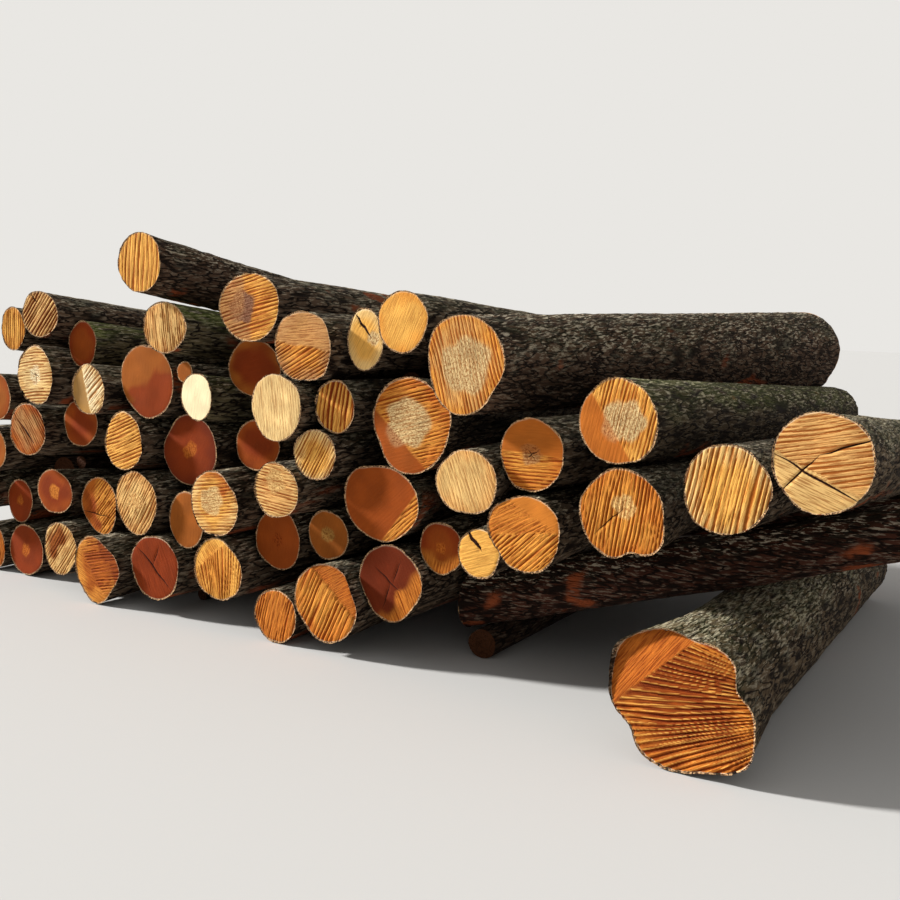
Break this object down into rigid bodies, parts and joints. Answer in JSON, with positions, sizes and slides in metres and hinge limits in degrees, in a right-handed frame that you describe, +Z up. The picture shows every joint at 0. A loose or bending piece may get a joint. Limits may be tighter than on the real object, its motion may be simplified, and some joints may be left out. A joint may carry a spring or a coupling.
{
  "type": "log stack",
  "caption": "Roadside stack of freshly cut round logs, sawn ends forward, part of it lying on cross logs and a large butt log.",
  "frame": {"origin": "on the floor under the middle of the stack's bounding box", "axes": "+X along the stack's face to the viewer's right, +Y along the logs away from the viewer, +Z up"},
  "size_m": [5.7706, 3.7, 1.8985],
  "materials": {
    "alder_log": "freshly sawn orange end grain with saw grooves, rough dark scaly bark around it",
    "cross_log": "dark reddish-brown plated bark with sawn ends",
    "bearer_log": "deep orange sawn end with fanned saw grooves and a hinge ridge, weathered bark with lichen",
    "inner_log": "dark bark and dull sawn ends, in shade inside the pile"
  },
  "bodies": {
    "root": {"bearer_log": "bearer_log", "cross_log_front": "cross_log", "cross_log_rear": "cross_log", "inner_logs": "inner_log", "log_01": "alder_log", "log_02": "alder_log", "log_03": "alder_log", "log_04": "alder_log", "log_05": "alder_log", "log_06": "alder_log", "log_07": "alder_log", "log_08": "alder_log", "log_09": "alder_log", "log_10": "alder_log", "log_11": "alder_log", "log_12": "alder_log", "log_13": "alder_log", "log_14": "alder_log", "log_15": "alder_log", "log_16": "alder_log", "log_17": "alder_log", "log_18": "alder_log", "log_19": "alder_log", "log_20": "alder_log", "log_21": "alder_log", "log_22": "alder_log", "log_23": "alder_log", "log_24": "alder_log", "log_25": "alder_log", "log_26": "alder_log", "log_27": "alder_log", "log_28": "alder_log", "log_29": "alder_log", "log_30": "alder_log", "log_31": "alder_log", "log_32": "alder_log", "log_33": "alder_log", "log_34": "alder_log", "log_35": "alder_log", "log_36": "alder_log", "log_37": "alder_log", "log_38": "alder_log", "log_39": "alder_log", "log_40": "alder_log", "log_41": "alder_log", "log_42": "alder_log", "log_43": "alder_log", "log_44": "alder_log", "log_45": "alder_log", "log_46": "alder_log", "log_47": "alder_log", "log_48": "alder_log", "log_49": "alder_log", "log_50": "alder_log", "log_51": "alder_log", "log_52": "alder_log", "log_53": "alder_log", "log_54": "alder_log", "log_55": "alder_log", "log_56": "alder_log"}
  },
  "joints": []
}
